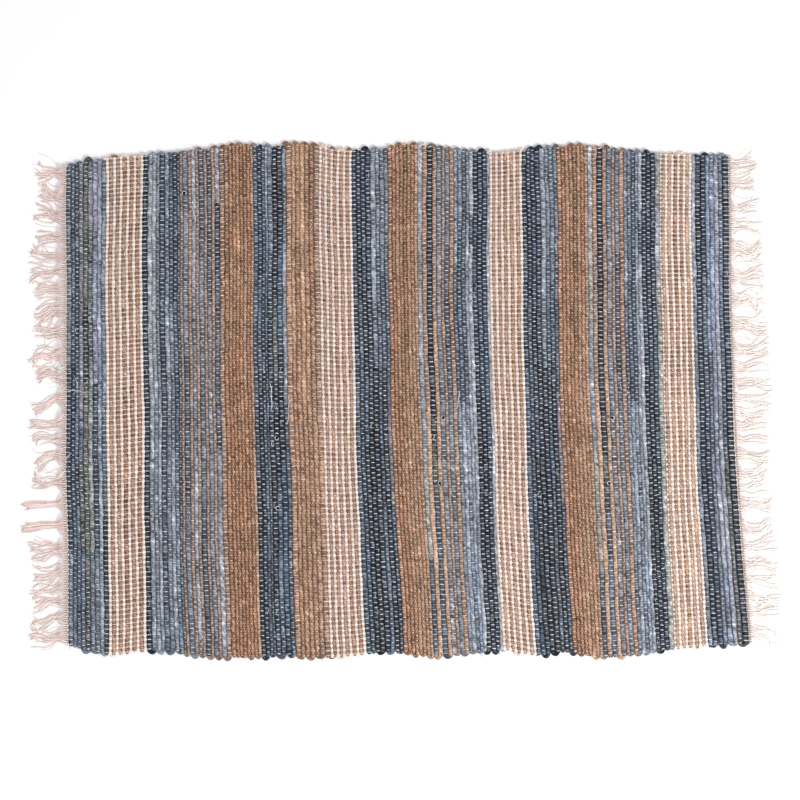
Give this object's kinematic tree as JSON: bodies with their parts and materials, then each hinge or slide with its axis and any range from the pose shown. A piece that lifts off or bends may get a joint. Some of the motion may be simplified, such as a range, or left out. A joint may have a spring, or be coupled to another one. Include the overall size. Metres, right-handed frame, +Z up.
{
  "type": "jute and denim rag rug",
  "caption": "Flat handwoven rug of denim rag, jute yarn and cotton wefts in narrow stripes, with a loose cotton fringe at both ends.",
  "frame": {"origin": "middle of the underside of the whole rug, fringe included, on the floor plane", "axes": "+X along the warps, from the left fringe to the right one; +Y along the weft ribs; +Z up from the floor"},
  "size_m": [0.9062, 0.612, 0.0058],
  "materials": {
    "weft_weave": "matt plain weave of torn denim, jute yarn and cream cotton",
    "cotton_warp": "unbleached cotton yarn"
  },
  "bodies": {
    "root": {"woven_body": "weft_weave", "fringe_left": "cotton_warp", "fringe_right": "cotton_warp"}
  },
  "joints": []
}
